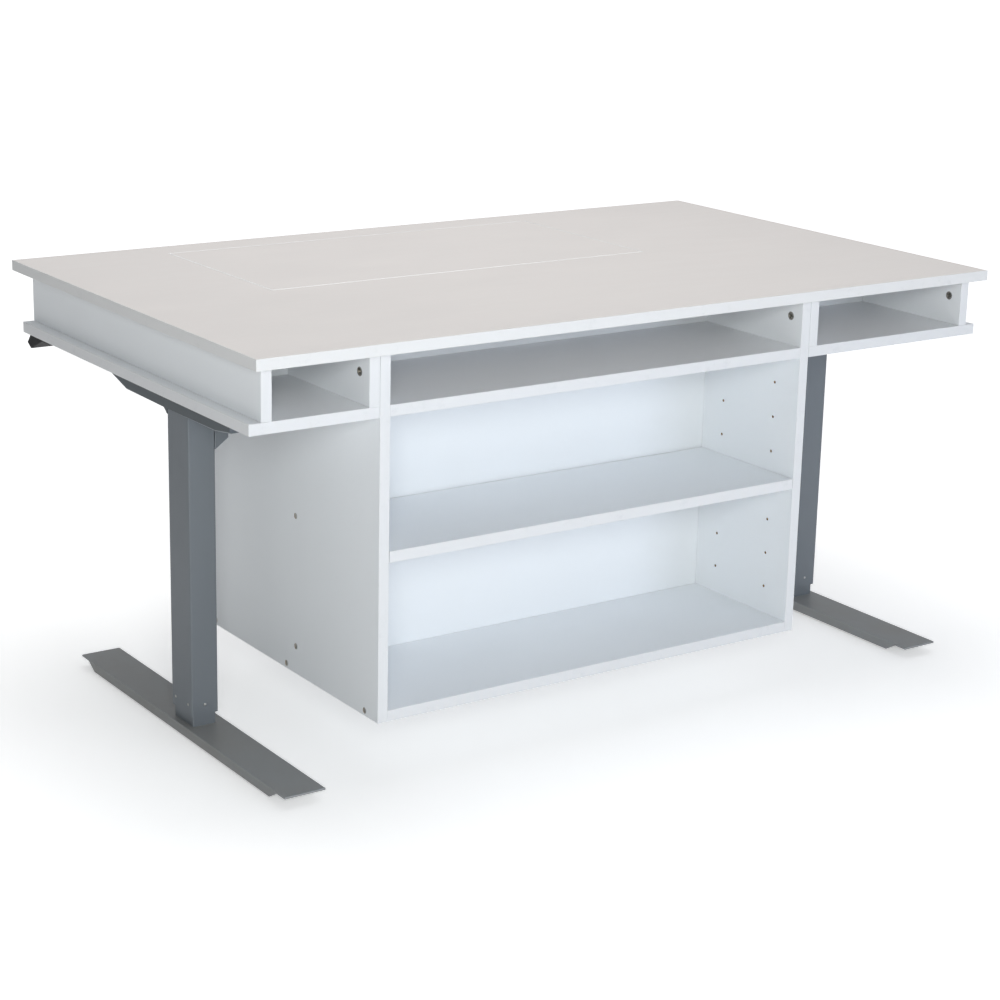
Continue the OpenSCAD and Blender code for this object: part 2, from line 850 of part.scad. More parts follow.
module gear_motor(right) {
    z0 = z_arm + arm_t;
    color(black) side_of(right) difference() {
        union() {
            panel(
                [x_column + gearbox_out - gearbox_w, y_column - gearbox_d / 2, z0],
                [x_column + gearbox_out, y_column + gearbox_d / 2, z0 + gearbox_h]
            );
            translate([x_arm_in + arm_w / 2, y_column + gearbox_d / 2, z0 + gearbox_h / 2])
                rotate([-90, 0, 0]) cylinder(r = motor_r, h = motor_l);
        }
        translate([x_column, y_column, z0 - 1])
            cylinder(r = journal_r + run_gap, h = 1 + spindle_up + spindle_end);
    }
}

module lead_screw(right) {
    color("silver") side_of(right) translate([x_column, y_column, 0]) {
        translate([0, 0, z_screw_low]) cylinder(r = screw_d / 2, h = z_collar - z_screw_low);
        translate([0, 0, z_screw_low - stop_h]) cylinder(r = collar_r, h = stop_h);
        translate([0, 0, z_collar]) cylinder(r = collar_r, h = collar_h);
        translate([0, 0, z_collar]) cylinder(r = journal_r, h = z_arm + arm_t + spindle_up - z_collar);
    }
}

// ---------------------------------------------------------------- controls

module control_box() {
    color(black) difference() {
        panel([x_box, y_box, z_wing - box_d], [x_box + box_w, y_box + box_l, z_wing]);
        panel(
            [x_box + box_wall, y_box + box_wall, z_wing - box_d + box_wall],
            [x_box + box_w - box_wall, y_box + box_l - box_wall, z_wing + 1]
        );
        inlet_block(hole_gap);
    }
}

module inlet_block(gap = 0) {
    translate([x_box + box_w / 2, y_box + box_l, z_wing - box_d / 2])
        cube([inlet_w + 2 * gap, inlet_d * 2, inlet_h + 2 * gap], center = true);
}

module mains_inlet() {
    color(black) difference() {
        intersection() {
            inlet_block();
            panel([x_box, y_box, z_wing - box_d], [x_box + box_w, y_box + box_l, z_wing]);
        }
        translate([x_box + box_w / 2, y_box + box_l, z_wing - box_d / 2])
            cube([inlet_w - 2 * inlet_wall, 2 * inlet_deep, inlet_h - 2 * inlet_wall], center = true);
    }
    color(zinc) translate([x_box + box_w / 2, y_box + box_l - inlet_deep, z_wing - box_d / 2])
        for (p = inlet_pins) translate([p[0], pin_size[1] / 2, p[1]]) cube(pin_size, center = true);
}

module control_board() {
    x0 = x_box + pcb_in;
    x1 = x_box + box_w - pcb_in;
    y0 = y_box + pcb_in;
    y1 = y_box + box_l - inlet_d - pcb_in;
    z0 = z_wing - box_d;
    color("darkgreen") {
        panel([x0, y0, z0 + pcb_in], [x1, y1, z0 + pcb_in + pcb_t]);
        for (x = [x0 + post_in, x1 - post_in])
            for (y = [y0 + post_in, y1 - post_in])
                translate([x, y, z0 + box_wall]) cylinder(r = post_r, h = pcb_in - box_wall);
    }
}

module handset_fixings(gap = 0) {
    for (x = handset_screw_xs) translate([x, y_handset_screw, z_wing - flange_t]) {
        cylinder(r = case_head_r + gap, h = case_head_h + gap);
        cylinder(r = case_screw_r + gap, h = flange_t + case_screw_bite + gap);
    }
}

// Outline of a button, or of its opening with a gap round it
module button_shape(gap = 0) {
    rounded_rect(button_w + 2 * gap, button_d + 2 * gap, button_round + gap);
}

// Places children on the sloped face, with +Z straight out of it
module on_button_face(x) {
    translate([x, y_nose - handset_run / 2, z_wing - handset_drop / 2])
        rotate([-button_angle, 0, 0]) children();
}

module handset_case() {
    color(black) difference() {
        translate([x_handset, 0, 0]) rotate([90, 0, 90]) linear_extrude(handset_l) polygon([
            [y_handset_back, z_wing], [y_nose - handset_run, z_wing],
            [y_nose, z_wing - handset_drop], [y_nose - handset_chin, z_wing - handset_h],
            [y_handset_back + flange_l, z_wing - flange_t], [y_handset_back, z_wing - flange_t]
        ]);
        handset_fixings(hole_gap);
        for (x = button_xs) on_button_face(x) translate([0, 0, -button_deep - button_travel - button_spare])
            linear_extrude(handset_h) button_shape(button_gap);
    }
}

module handset_screws() {
    color(zinc) handset_fixings();
}

module button(x) {
    color("dimgray") on_button_face(x) translate([0, 0, -button_deep])
        linear_extrude(button_deep + button_proud) button_shape();
}

module up_button() {
    button(button_xs[0]);
}

module down_button() {
    button(button_xs[1]);
}

// ---------------------------------------------------------------- assembly

foot(false);  // left_foot
foot(true);  // right_foot
levelling_glides();
glide_nuts();
column_bolts();
inner_column(false);  // left_inner_column
inner_column(true);  // right_inner_column
drive_nut(false);  // left_drive_nut
drive_nut(true);  // right_drive_nut
inner_glide_pads();
top_panel();
insert_cleats();
left_wing_bottom();
right_wing_bottom();
well_floor();
left_outer_side();
right_outer_side();
left_divider();
right_divider();
left_cubby_back();
right_cubby_back();
rear_rail();
cabinet_left_side();
cabinet_right_side();
cabinet_bottom();
upper_shelf();
cabinet_back();
upper_compartment_back();
shelf_pins();
cam_locks();
cam_bolts();
connecting_screws();
floor_dowels();
outer_column(false);  // left_outer_column
outer_column(true);  // right_outer_column
outer_glide_pads();
pad_rivets();
arm(false);  // left_arm
arm(true);  // right_arm
head_plate(false);  // left_head_plate
head_plate(true);  // right_head_plate
head_cover(false);  // left_head_cover
head_cover(true);  // right_head_cover
bearing(false);  // left_bearing
bearing(true);  // right_bearing
gear_motor(false);  // left_gear_motor
gear_motor(true);  // right_gear_motor
arm_screws();
control_box();
control_board();
mains_inlet();
handset_case();
handset_screws();
insert_panel();
adjustable_shelf();
up_button();
down_button();
lead_screw(false);  // left_lead_screw
lead_screw(true);  // right_lead_screw
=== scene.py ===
import json
import math

import bmesh
import bpy
from mathutils import Matrix, Vector


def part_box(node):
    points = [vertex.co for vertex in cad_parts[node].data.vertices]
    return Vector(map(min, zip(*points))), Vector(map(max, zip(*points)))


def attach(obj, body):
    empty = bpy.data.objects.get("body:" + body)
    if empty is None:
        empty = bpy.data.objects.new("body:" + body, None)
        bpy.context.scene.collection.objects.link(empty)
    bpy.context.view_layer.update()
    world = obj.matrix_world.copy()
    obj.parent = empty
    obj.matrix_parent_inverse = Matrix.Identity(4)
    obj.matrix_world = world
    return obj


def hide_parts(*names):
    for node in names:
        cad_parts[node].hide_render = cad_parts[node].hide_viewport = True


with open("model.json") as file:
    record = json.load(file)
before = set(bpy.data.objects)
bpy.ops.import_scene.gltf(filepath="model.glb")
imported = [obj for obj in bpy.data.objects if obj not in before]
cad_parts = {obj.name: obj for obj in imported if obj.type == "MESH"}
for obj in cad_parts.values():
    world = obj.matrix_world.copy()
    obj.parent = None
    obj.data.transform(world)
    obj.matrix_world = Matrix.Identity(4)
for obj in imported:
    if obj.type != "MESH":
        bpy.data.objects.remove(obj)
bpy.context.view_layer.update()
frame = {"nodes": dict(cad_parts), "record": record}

# ---------------------------------------------------------------- feet
# Each foot is a long steel plate with two skirts welded under it, shaped at both ends.
# It is powder-coated grey, with faint scuffs and a little dust; its rounded edges are painted lighter as a
# painted highlight.

RIDES_ON = {node: body for body, nodes in frame["record"]["behaviour"]["bodies"].items() for node in nodes}
SIDES = ("left", "right")
UP = Vector((0, 0, 1))
SHARP_ANGLE = math.radians(35)
SMOOTH_ANGLE = math.radians(40)
FLAT_ANGLE = math.radians(1.5)
SAME_PLACE = 1e-5


class Wire:
    """An output socket that can stand in a sum."""

    def __init__(self, tree, socket):
        self.tree, self.socket = tree, socket

    def maths(self, operation, first, second):
        return self.tree.add("ShaderNodeMath", {"operation": operation}, {0: first, 1: second})

    def __add__(self, other):
        return self.maths("ADD", self, other)

    def __radd__(self, other):
        return self.maths("ADD", other, self)

    def __sub__(self, other):
        return self.maths("SUBTRACT", self, other)

    def __rsub__(self, other):
        return self.maths("SUBTRACT", other, self)

    def __mul__(self, other):
        return self.maths("MULTIPLY", self, other)

    def __rmul__(self, other):
        return self.maths("MULTIPLY", other, self)

    def __truediv__(self, other):
        return self.maths("DIVIDE", self, other)

    def __neg__(self):
        return self.maths("MULTIPLY", self, -1.0)


class Tree:
    """A node tree, of a finish or of a repeated part, filled by one method."""

    def __init__(self, tree):
        self.tree = tree
        tree.nodes.clear()

    def add(self, kind, settings=None, sockets=None, out=0):
        node = self.tree.nodes.new(kind)
        for name, value in (settings or {}).items():
            if name == "stops":
                self.set_stops(node.color_ramp.elements, value)
            else:
                setattr(node, name, value)
        for key, value in (sockets or {}).items():
            self.feed(self.socket_of(node.inputs, key), value)
        return Wire(self, self.socket_of(node.outputs, out)) if node.outputs else None

    def set_stops(self, elements, stops):
        while len(elements) > 1:
            elements.remove(elements[-1])
        for place, colour in stops[1:]:
            elements.new(place).color = colour
        elements[0].position, elements[0].color = stops[0]

    def socket_of(self, sockets, key):
        live = [s for s in sockets if s.enabled]
        if isinstance(key, int):
            return live[key]
        return next(s for s in live if s.name == key)

    def feed(self, socket, value):
        if isinstance(value, Wire):
            self.tree.links.new(value.socket, socket)
        elif isinstance(value, list):
            for wire in value:
                self.tree.links.new(wire.socket, socket)
        else:
            socket.default_value = value


class Finish(Tree):
    """A material whose patterns follow Object coordinates, in metres."""

    def __init__(self, name):
        self.material = bpy.data.materials.new(name)
        self.material.use_nodes = True
        super().__init__(self.material.node_tree)
        self.place = self.add("ShaderNodeTexCoord", out="Object")

    def stretched(self, x, y, z):
        return self.add("ShaderNodeMapping", {}, {"Vector": self.place, "Scale": (x, y, z)})

    def noise(self, scale, detail=3.0, rough=0.5, place=None):
        sockets = {"Vector": place or self.place, "Scale": scale, "Detail": detail, "Roughness": rough}
        return self.add("ShaderNodeTexNoise", {}, sockets)

    def cells(self, scale, place=None):
        return self.add("ShaderNodeTexVoronoi", {}, {"Vector": place or self.place, "Scale": scale})

    def steps(self, factor, *stops):
        grey = [(at, (level, level, level, 1)) for at, level in stops]
        return self.add("ShaderNodeValToRGB", {"stops": grey}, {"Fac": factor})

    def mix(self, share, first, second):
        sockets = {"Factor": share, "A": first, "B": second}
        return self.add("ShaderNodeMix", {"data_type": "RGBA"}, sockets)

    def bump(self, height, depth, strength=1.0):
        return self.add("ShaderNodeBump", {}, {"Height": height, "Distance": depth, "Strength": strength})

    def surface(self, sockets):
        shader = self.add("ShaderNodeBsdfPrincipled", {}, sockets)
        self.add("ShaderNodeOutputMaterial", {}, {"Surface": shader})
        return self.material


def tint(red, green, blue):
    """A colour given as a screen shows it, from 0 to 255."""
    levels = [level / 255 for level in (red, green, blue)]
    return (*[c / 12.92 if c < 0.04045 else ((c + 0.055) / 1.055) ** 2.4 for c in levels], 1.0)


def powder_coat(name, paint, dust, gloss):
    """Sprayed and baked powder paint, with its orange peel, fine flakes and dull scuffs."""
    f = Finish(name)
    peel = f.noise(380.0, 1.0)
    clouds = f.steps(f.noise(7.0, 5.0, 0.6), (0.35, 0.0), (0.75, 1.0))
    scuffs = f.steps(f.noise(26.0, 2.0, 0.5), (0.50, 0.0), (0.85, 1.0))
    flakes = f.steps(f.cells(2600.0), (0.02, 1.0), (0.16, 0.0))
    colour = f.mix(0.35 * clouds + 0.10 * scuffs, paint, dust)
    colour = f.mix(0.04 * flakes, colour, (0.75, 0.77, 0.8, 1.0))
    return f.surface({
        "Base Color": colour,
        "Roughness": gloss + 0.06 * clouds + 0.05 * scuffs,
        "Metallic": 0.25,
        "Normal": f.bump(peel, 0.00002, 0.2),
    })


def copy_of(node):
    """A CAD node's shape with its loose triangles joined and its flat faces made whole."""
    shape = bmesh.new()
    shape.from_mesh(frame["nodes"][node].data)
    bmesh.ops.remove_doubles(shape, verts=shape.verts, dist=SAME_PLACE)
    bmesh.ops.dissolve_limit(shape, angle_limit=FLAT_ANGLE, verts=shape.verts, edges=shape.edges)
    return shape


def is_sharp(edge):
    return len(edge.link_faces) == 2 and edge.calc_face_angle(0) > SHARP_ANGLE


def rounded(shape, radius, steps, slot, pick=lambda edge: edge.calc_length() > 0.006):
    """Rounds the sharp edges that pick chooses and gives the rounding its own material slot."""
    edges = [edge for edge in shape.edges if is_sharp(edge) and pick(edge)]
    bmesh.ops.bevel(shape, geom=edges, offset=radius, offset_type="OFFSET", segments=steps, profile=0.5,
                    affect="EDGES", clamp_overlap=True, material=slot)


def as_mesh(name, shape, finishes):
    """Turns a shape into a mesh with its finishes and smooth rounded faces."""
    mesh = bpy.data.meshes.new(name)
    shape.to_mesh(mesh)
    shape.free()
    for finish in finishes:
        mesh.materials.append(finish)
    mesh.shade_smooth()
    mesh.set_sharp_from_angle(angle=SMOOTH_ANGLE)
    return evened(mesh)


def plain_mesh(holder):
    """The finished mesh of an object with its modifiers taken in, and the object removed."""
    bpy.context.scene.collection.objects.link(holder)
    depsgraph = bpy.context.evaluated_depsgraph_get()
    mesh = bpy.data.meshes.new_from_object(holder.evaluated_get(depsgraph), depsgraph=depsgraph)
    mesh.name = holder.name
    bpy.data.objects.remove(holder)
    return mesh


def evened(mesh):
    """Keeps the flat faces flat right up to their rounded edges."""
    holder = bpy.data.objects.new(mesh.name, mesh)
    modifier = holder.modifiers.new("even", "WEIGHTED_NORMAL")
    modifier.keep_sharp = True
    modifier.weight = 100  # the flat faces decide, and the roundings follow
    return plain_mesh(holder)


def fit(name, mesh, slot, *nodes):
    """Puts a finished mesh on the body of the CAD nodes that it stands for."""
    piece = bpy.data.objects.new(name, mesh)
    bpy.context.scene.collection.objects.link(piece)
    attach(piece, RIDES_ON[nodes[0]])
    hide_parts(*nodes)
    return piece


def dress(node, slot, finishes, radius, steps=3, pick=None):
    """Stands a copy of one CAD node in its place, with rounded edges and real finishes."""
    shape = copy_of(node)
    for face in shape.faces:
        face.material_index = 0
    rounded(shape, radius, steps, len(finishes) - 1, **({"pick": pick} if pick else {}))
    return fit(node + "_made", as_mesh(node + "_made", shape, finishes), slot, node)


foot_paint = powder_coat("foot_paint", tint(146, 148, 149), tint(148, 142, 134), 0.36)
# The rounded edges of the feet get a lighter, glossier paint: a painted highlight along the edges.
foot_edge_highlight = powder_coat("foot_edge_paint", tint(152, 155, 158), tint(152, 148, 142), 0.36)
for side in SIDES:
    dress(side + "_foot", "foot_paint", [foot_paint, foot_edge_highlight], 0.0012)

# ---------------------------------------------------------------- levelling glides
# Four black moulded discs on threaded studs stand under the feet. Each stud turns in a hex
# nut that is fixed inside the foot, so that the table can be levelled.


def parts_of(node):
    """The box and the points of each separate solid in a CAD node."""
    shape = copy_of(node)
    left, found = set(shape.verts), []
    while left:
        todo, points = [left.pop()], []
        while todo:
            vert = todo.pop()
            points.append(vert.co.copy())
            near = {edge.other_vert(vert) for edge in vert.link_edges} & left
            left -= near
            todo += near
        low = Vector(min(p[k] for p in points) for k in range(3))
        high = Vector(max(p[k] for p in points) for k in range(3))
        found.append((low, high, points))
    shape.free()
    return sorted(found, key=lambda part: tuple(round(c, 5) for c in (part[0] + part[1]) / 2))


def span_of(part):
    """The size of the box round a separate solid."""
    return part[1] - part[0]


def upright_at(part, level):
    """The point at a height on the vertical middle line of a solid or a box, and the way up."""
    return Vector(((part[0].x + part[1].x) / 2, (part[0].y + part[1].y) / 2, level)), UP


def stand_of(part):
    """The axis that a round solid turns about, the middle of its wider end, and the way that end faces."""
    low, high, points = part
    size = high - low
    axis = max(range(3), key=lambda k: abs(size[k] - sorted(size)[1]))
    middle = (low + high) / 2

    def reach(level):
        ring = [p for p in points if abs(p[axis] - level) < 10 * SAME_PLACE]
        return max((p - middle)[k] for p in ring for k in range(3) if k != axis)

    way = Vector((0, 0, 0))
    way[axis] = 1 if reach(high[axis]) > reach(low[axis]) + 10 * SAME_PLACE else -1
    return middle + way * size[axis] / 2, way


def repeat(name, slot, node, spots, sizes, make, finish, turn=0.0):
    """Builds one part with a node tree, sets it at every spot and stands it for the CAD node."""
    stand = bpy.data.meshes.new(name + "_spots")
    stand.from_pydata([spot for spot, way in spots], [], [])
    ways = stand.attributes.new("way", "FLOAT_VECTOR", "POINT")
    for item, (spot, way) in zip(ways.data, spots):
        item.vector = way
    tree = bpy.data.node_groups.new(name, "GeometryNodeTree")
    t = Tree(tree)
    tree.interface.new_socket("Geometry", in_out="OUTPUT", socket_type="NodeSocketGeometry")
    inputs = {"Geometry": "NodeSocketGeometry", "Finish": "NodeSocketMaterial", "Turn": "NodeSocketFloat"}
    inputs.update({size: "NodeSocketFloat" for size in sizes})
    keys = {key: tree.interface.new_socket(key, in_out="INPUT", socket_type=kind).identifier
            for key, kind in inputs.items()}
    group = t.add("NodeGroupInput")
    given = {key: Wire(t, group.socket.node.outputs[key]) for key in inputs}
    part = make(t, given)
    way = t.add("GeometryNodeInputNamedAttribute", {"data_type": "FLOAT_VECTOR"}, {"Name": "way"})
    upright = t.add("FunctionNodeAlignRotationToVector", {"axis": "Z"}, {"Vector": way})
    angle = t.add("FunctionNodeRandomValue", {"data_type": "FLOAT"},
                  {"Min": 0.0, "Max": given["Turn"], "Seed": 7})
    spin = t.add("FunctionNodeAxisAngleToRotation", {}, {"Axis": (0, 0, 1), "Angle": angle})
    turned = t.add("FunctionNodeRotateRotation", {"rotation_space": "LOCAL"},
                   {"Rotation": upright, "Rotate By": spin})
    laid = t.add("GeometryNodeInstanceOnPoints", {},
                 {"Points": given["Geometry"], "Instance": part, "Rotation": turned})
    real = t.add("GeometryNodeRealizeInstances", {}, {"Geometry": laid})
    painted = t.add("GeometryNodeSetMaterial", {}, {"Geometry": real, "Material": given["Finish"]})
    t.add("NodeGroupOutput", {}, {"Geometry": painted})
    source = bpy.data.objects.new(name, stand)
    modifier = source.modifiers.new(name, "NODES")
    modifier.node_group = tree
    for key, value in {**sizes, "Finish": finish, "Turn": turn}.items():
        modifier[keys[key]] = value
    mesh = plain_mesh(source)
    mesh.shade_smooth()
    mesh.set_sharp_from_angle(angle=SMOOTH_ANGLE)
    return fit(name, mesh, slot, node)


def drum(t, radius, depth, top=0.0, sides=32):
    """A cylinder whose upper end is at a height."""
    solid = t.add("GeometryNodeMeshCylinder", {}, {"Vertices": sides, "Radius": radius, "Depth": depth})
    return lifted(t, solid, top - depth / 2)


def lifted(t, solid, height):
    shift = t.add("ShaderNodeCombineXYZ", {}, {"Z": height})
    return t.add("GeometryNodeTransform", {}, {"Geometry": solid, "Translation": shift})


def cone(t, top_radius, base_radius, depth, top=0.0, sides=32):
    """A cone whose upper end is at a height."""
    solid = t.add("GeometryNodeMeshCone", {},
                  {"Vertices": sides, "Radius Top": top_radius, "Radius Bottom": base_radius, "Depth": depth})
    return lifted(t, solid, top - depth)


def join(t, *solids):
    return t.add("GeometryNodeJoinGeometry", {}, {"Geometry": list(solids)})


def cut(t, solid, *cutters):
    return t.add("GeometryNodeMeshBoolean", {"operation": "DIFFERENCE", "solver": "EXACT"},
                 {"Mesh 1": solid, "Mesh 2": list(cutters)})


def thread(t, radius, pitch, length, top):
    """A thread ridge wound down a shank from a height."""
    coil = t.add("GeometryNodeCurveSpiral", {}, {
        "Resolution": 14, "Rotations": length / pitch, "Start Radius": radius, "End Radius": radius,
        "Height": length})
    ridge = t.add("GeometryNodeCurvePrimitiveCircle", {"mode": "RADIUS"},
                  {"Resolution": 4, "Radius": 0.4 * pitch})
    wound = t.add("GeometryNodeCurveToMesh", {}, {"Curve": coil, "Profile Curve": ridge, "Fill Caps": True})
    return lifted(t, wound, top - length)


def plastic(name, colour, rough, grain=1100.0, depth=0.00005):
    """Moulded plastic with a fine spark-eroded grain and slight handling marks."""
    f = Finish(name)
    marks = f.steps(f.noise(22.0, 5.0, 0.6), (0.4, 0.0), (0.8, 1.0))
    lighter = tuple(min(1.0, c * 1.35 + 0.01) for c in colour[:3]) + (1.0,)
    return f.surface({
        "Base Color": f.mix(0.5 * marks, colour, lighter),
        "Roughness": rough + 0.12 * marks,
        "Normal": f.bump(f.noise(grain, 2.0), depth, 0.7),
    })


def plated(name, colour, rough):
    """Zinc or nickel plating over steel, with faint clouding and fine turning marks."""
    f = Finish(name)
    clouds = f.noise(120.0, 4.0, 0.6)
    return f.surface({
        "Base Color": f.mix(0.6 * clouds, colour, tuple(c * 0.72 for c in colour[:3]) + (1.0,)),
        "Metallic": 1.0,
        "Roughness": rough + 0.18 * clouds,
        "Normal": f.bump(f.noise(2400.0, 2.0), 0.00002, 0.5),
    })


black_plastic = plastic("black_plastic", tint(13, 13, 14), 0.58)
zinc = plated("zinc_plating", tint(205, 204, 200), 0.24)
stud_radius = 0.004
stud_pitch = 0.00125


def glide(t, size):
    rim, disc, stud = size["Rim"], size["Disc radius"], size["Stud radius"]
    threaded = size["Height"] - size["Disc height"] - size["Bare stud"]
    return join(
        t,
        cone(t, disc, disc - rim, rim, rim),
        drum(t, disc, size["Disc height"] - rim, size["Disc height"]),
        cone(t, stud * 1.5, stud * 2.1, size["Collar"], size["Disc height"] + size["Collar"], 24),
        drum(t, stud * 0.92, size["Height"] - rim, size["Height"], 24),
        thread(t, stud * 0.88, stud_pitch, threaded, size["Height"]),
    )


glide_parts = parts_of("levelling_glides")
glide_span = span_of(glide_parts[0])
repeat("levelling_glide_discs", "black_plastic", "levelling_glides",
       [upright_at(part, part[0].z) for part in glide_parts], {
           "Disc radius": glide_span.x / 2, "Disc height": 0.005, "Rim": 0.002, "Collar": 0.0025,
           "Stud radius": stud_radius, "Bare stud": 0.003, "Height": glide_span.z}, glide, black_plastic)


def hex_nut(t, size):
    """A hexagon nut with a chamfered face, its top at z = 0."""
    corner, height, chamfer = size["Corner radius"], size["Height"], size["Height"] * 0.14
    bore = drum(t, size["Bore radius"], height * 3, height, 24)
    return join(t, cut(t, cone(t, corner * 0.9, corner, chamfer, sides=6), bore),
                cut(t, drum(t, corner, height - chamfer, -chamfer, 6), bore))


nut_parts = parts_of("glide_nuts")
nut_span = span_of(nut_parts[0])
repeat("glide_hex_nuts", "zinc_steel", "glide_nuts", [upright_at(part, part[1].z) for part in nut_parts], {
    "Corner radius": nut_span.x / 2, "Height": nut_span.z, "Bore radius": stud_radius + 0.0001},
    hex_nut, zinc)

# ---------------------------------------------------------------- lower legs
# The inner tube of each leg is welded to a block, and four socket screws come up through the
# foot into it. A nylon nut closes the tube's top, and nylon pads guide it in the outer tube.

leg_paint = powder_coat("leg_paint", tint(115, 121, 127), tint(121, 125, 129), 0.38)
# The rounded corners of the legs and covers get a lighter, glossier paint: a painted highlight along the
# corners.
leg_edge_highlight = powder_coat("leg_corner_painted_highlight", tint(138, 144, 150), tint(142, 145, 148), 0.32)
nylon = plastic("nylon", tint(226, 222, 208), 0.38, 500.0, 0.00003)
for side in SIDES:
    dress(side + "_inner_column", "leg_paint", [leg_paint, leg_edge_highlight], 0.0004, 2)
    dress(side + "_drive_nut", "nylon", [nylon], 0.0006, 2)
dress("inner_glide_pads", "nylon", [nylon], 0.00035, 2)


def bolt(t, size):
    """A socket screw, its head's face at z = 0 and its shank running down."""
    head_radius, head_height = size["Head radius"], size["Head height"]
    rim = head_height * 0.16
    socket = drum(t, head_radius * 0.52, head_height * 1.1, head_height * 0.5, 6)
    shank = drum(t, size["Shank radius"] * 0.86, size["Length"] - head_height, -head_height, 24)
    ridge = thread(t, size["Shank radius"] * 0.84, size["Pitch"], size["Length"] - head_height - 0.001,
                   -head_height - 0.0005)
    return join(t, cut(t, cone(t, head_radius * 0.88, head_radius, rim), socket),
                cut(t, drum(t, head_radius, head_height - rim, -rim), socket), shank, ridge)


bolt_parts = parts_of("column_bolts")
bolt_span = span_of(bolt_parts[0])
repeat("column_socket_screws", "zinc_steel", "column_bolts", [stand_of(part) for part in bolt_parts], {
    "Head radius": bolt_span.x / 2, "Head height": 0.006, "Shank radius": stud_radius,
    "Length": bolt_span.z, "Pitch": stud_pitch}, bolt, zinc, math.pi)

# ---------------------------------------------------------------- upper legs
# The outer tube slides over the inner one on its own nylon pads, which small rivets hold.
# A plate closes its head and carries the bearing, and a folded cover guards the inner side.

for side in SIDES:
    dress(side + "_outer_column", "leg_paint", [leg_paint, leg_edge_highlight], 0.0004, 2)
    dress(side + "_head_plate", "zinc_steel", [zinc], 0.0005, 2)
    dress(side + "_head_cover", "leg_paint", [leg_paint, leg_edge_highlight], 0.0009, 3)
dress("outer_glide_pads", "nylon", [nylon], 0.00035, 2)


def rivet(t, size):
    """A domed blind rivet with the mark of its pulled pin."""
    ball = t.add("GeometryNodeMeshUVSphere", {}, {"Segments": 24, "Rings": 12, "Radius": size["Radius"]})
    dome = t.add("GeometryNodeTransform", {}, {"Geometry": ball, "Scale": (1.0, 1.0, 0.42)})
    pin = drum(t, size["Radius"] * 0.3, size["Length"], size["Length"] * 0.45, 12)
    return join(t, cut(t, dome, pin), drum(t, size["Radius"] * 0.96, size["Length"]),
                drum(t, size["Radius"] * 0.27, size["Length"], size["Length"] * 0.15, 12))


columns = [sum(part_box(side + "_outer_column"), Vector()) / 2 for side in SIDES]
rivet_spots = []
for part in parts_of("pad_rivets"):
    spot, way = stand_of(part)
    middle = (part[0] + part[1]) / 2
    centre = min(columns, key=lambda c: abs(c.x - middle.x))
    if (middle - centre).dot(way) < 0:
        spot, way = 2 * middle - spot, -way
    rivet_spots.append((spot, way))
repeat("pad_rivet_heads", "zinc_steel", "pad_rivets", rivet_spots,
       {"Radius": 0.0025, "Length": 0.0014}, rivet, zinc)

# ---------------------------------------------------------------- drive
# A gear motor in each arm turns a lead screw that hangs from a ball bearing in the head plate.
# The screw runs down through the nylon nut, and its thread carries the table.


def ball_bearing(node):
    """Two races, two shields and a ring of balls, filling the CAD ring's box."""
    low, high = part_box(node)
    middle = (low + high) / 2
    outer, half = (high.x - low.x) / 2, (high.z - low.z) / 2
    bore, gap, chamfer = 0.00605, 0.0016, 0.0004
    shield, shield_half, ball, balls = 0.0015, 0.0002, 0.0019, 9
    between = (outer + bore) / 2
    shape = bmesh.new()
    for inside, outside in ((bore, between - gap), (between + gap, outer)):
        lathe(shape, middle, [
            (inside, chamfer - half), (inside + chamfer, -half), (outside - chamfer, -half),
            (outside, chamfer - half), (outside, half - chamfer), (outside - chamfer, half),
            (inside + chamfer, half), (inside, half - chamfer)])
    for level in (-0.8 * half, 0.8 * half):
        lathe(shape, middle + level * UP, [
            (between - shield, -shield_half), (between + shield, -shield_half),
            (between + shield, shield_half), (between - shield, shield_half)])
    for k in range(balls):
        turn = Matrix.Rotation(2 * math.pi * k / balls, 4, "Z")
        place = Matrix.Translation(middle) @ turn @ Matrix.Translation((between, 0, 0))
        bmesh.ops.create_uvsphere(shape, u_segments=12, v_segments=8, radius=ball, matrix=place)
    return shape


def lathe(shape, middle, outline, sides=48):
    """Turns a closed outline of radius and height about a vertical line through a point."""
    rings = []
    for radius, height in outline:
        rings.append([
            shape.verts.new(middle + Vector((radius * math.cos(a), radius * math.sin(a), height)))
            for a in (2 * math.pi * k / sides for k in range(sides))])
    for ring, following in zip(rings, rings[1:] + rings[:1]):
        for k in range(sides):
            n = (k + 1) % sides
            shape.faces.new((ring[k], ring[n], following[n], following[k]))
    bmesh.ops.recalc_face_normals(shape, faces=shape.faces)


def lead_screw(t, size):
    """A trapezoidal thread between a stop ring and a thrust collar, with the top at z = 0."""
    core, chamfer = size["Radius"] - size["Depth"], size["Stop chamfer"]
    threaded = size["Length"] - size["Spindle"] - size["Stop"]
    coil = t.add("GeometryNodeCurveSpiral", {}, {
        "Resolution": 24, "Rotations": threaded / size["Lead"], "Start Radius": core, "End Radius": core,
        "Height": threaded})
    profile = t.add("GeometryNodeCurvePrimitiveQuadrilateral", {"mode": "TRAPEZOID"}, {
        "Bottom Width": size["Lead"] * 0.30, "Top Width": size["Lead"] * 0.22,
        "Height": size["Depth"] * 2.0, "Offset": 0.0})
    wound = t.add("GeometryNodeCurveToMesh", {}, {"Curve": coil, "Profile Curve": profile, "Fill Caps": True})
    stop_top = -size["Length"] + size["Stop"]
    return join(
        t,
        lifted(t, wound, stop_top),
        drum(t, core, threaded, -size["Spindle"]),
        cone(t, size["Collar"] * 0.94, size["Collar"], chamfer, stop_top, 40),
        drum(t, size["Collar"], size["Stop"] - chamfer, stop_top - chamfer, 40),
        drum(t, size["Collar"], size["Collar height"], size["Thrust"], 40),
        drum(t, size["Journal"], size["Spindle"], sides=40),
    )


